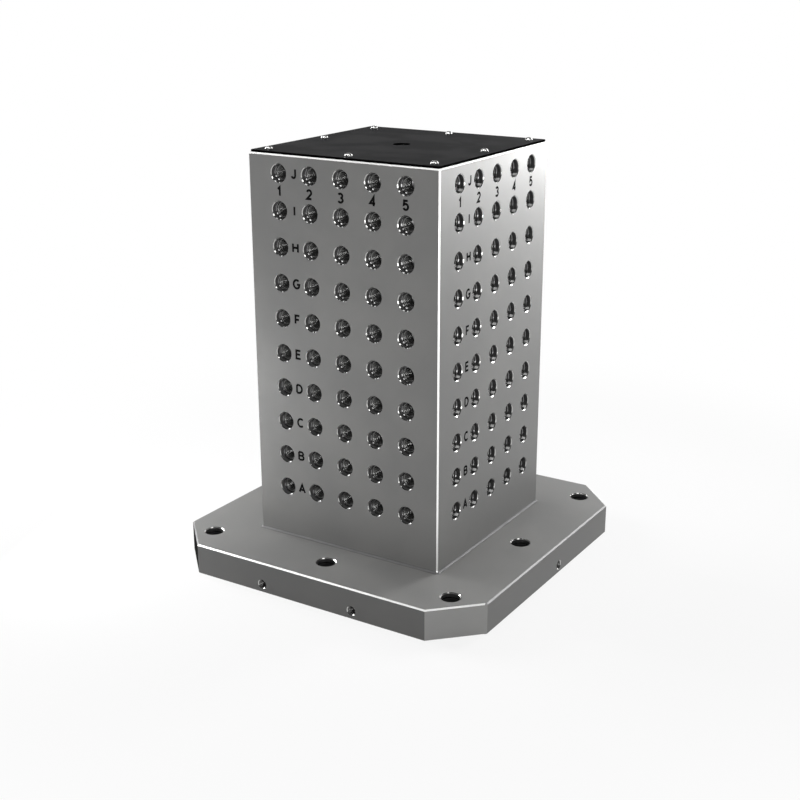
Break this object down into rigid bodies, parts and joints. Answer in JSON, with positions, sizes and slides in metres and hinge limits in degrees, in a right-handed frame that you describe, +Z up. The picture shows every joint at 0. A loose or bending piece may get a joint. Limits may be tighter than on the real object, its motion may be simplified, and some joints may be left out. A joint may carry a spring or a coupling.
{
  "type": "cnc tombstone fixture",
  "caption": "Square hollow workholding column on a chamfered base plate, with lettered grids of counterbored threads on its faces and a screwed-on top cover.",
  "frame": {"origin": "middle of the base plate's underside", "axes": "+Z up along the column; the front face, with two edge threads below it, looks along -Y; the face with one edge thread below it looks along +X"},
  "size_m": [0.5, 0.5, 0.6013],
  "materials": {
    "machined_iron": "ground",
    "black_cover": "satin",
    "bright_screws": "bright"
  },
  "bodies": {
    "root": {"tombstone_body": "machined_iron", "top_cover": "black_cover", "cover_screws": "bright_screws"}
  },
  "joints": []
}
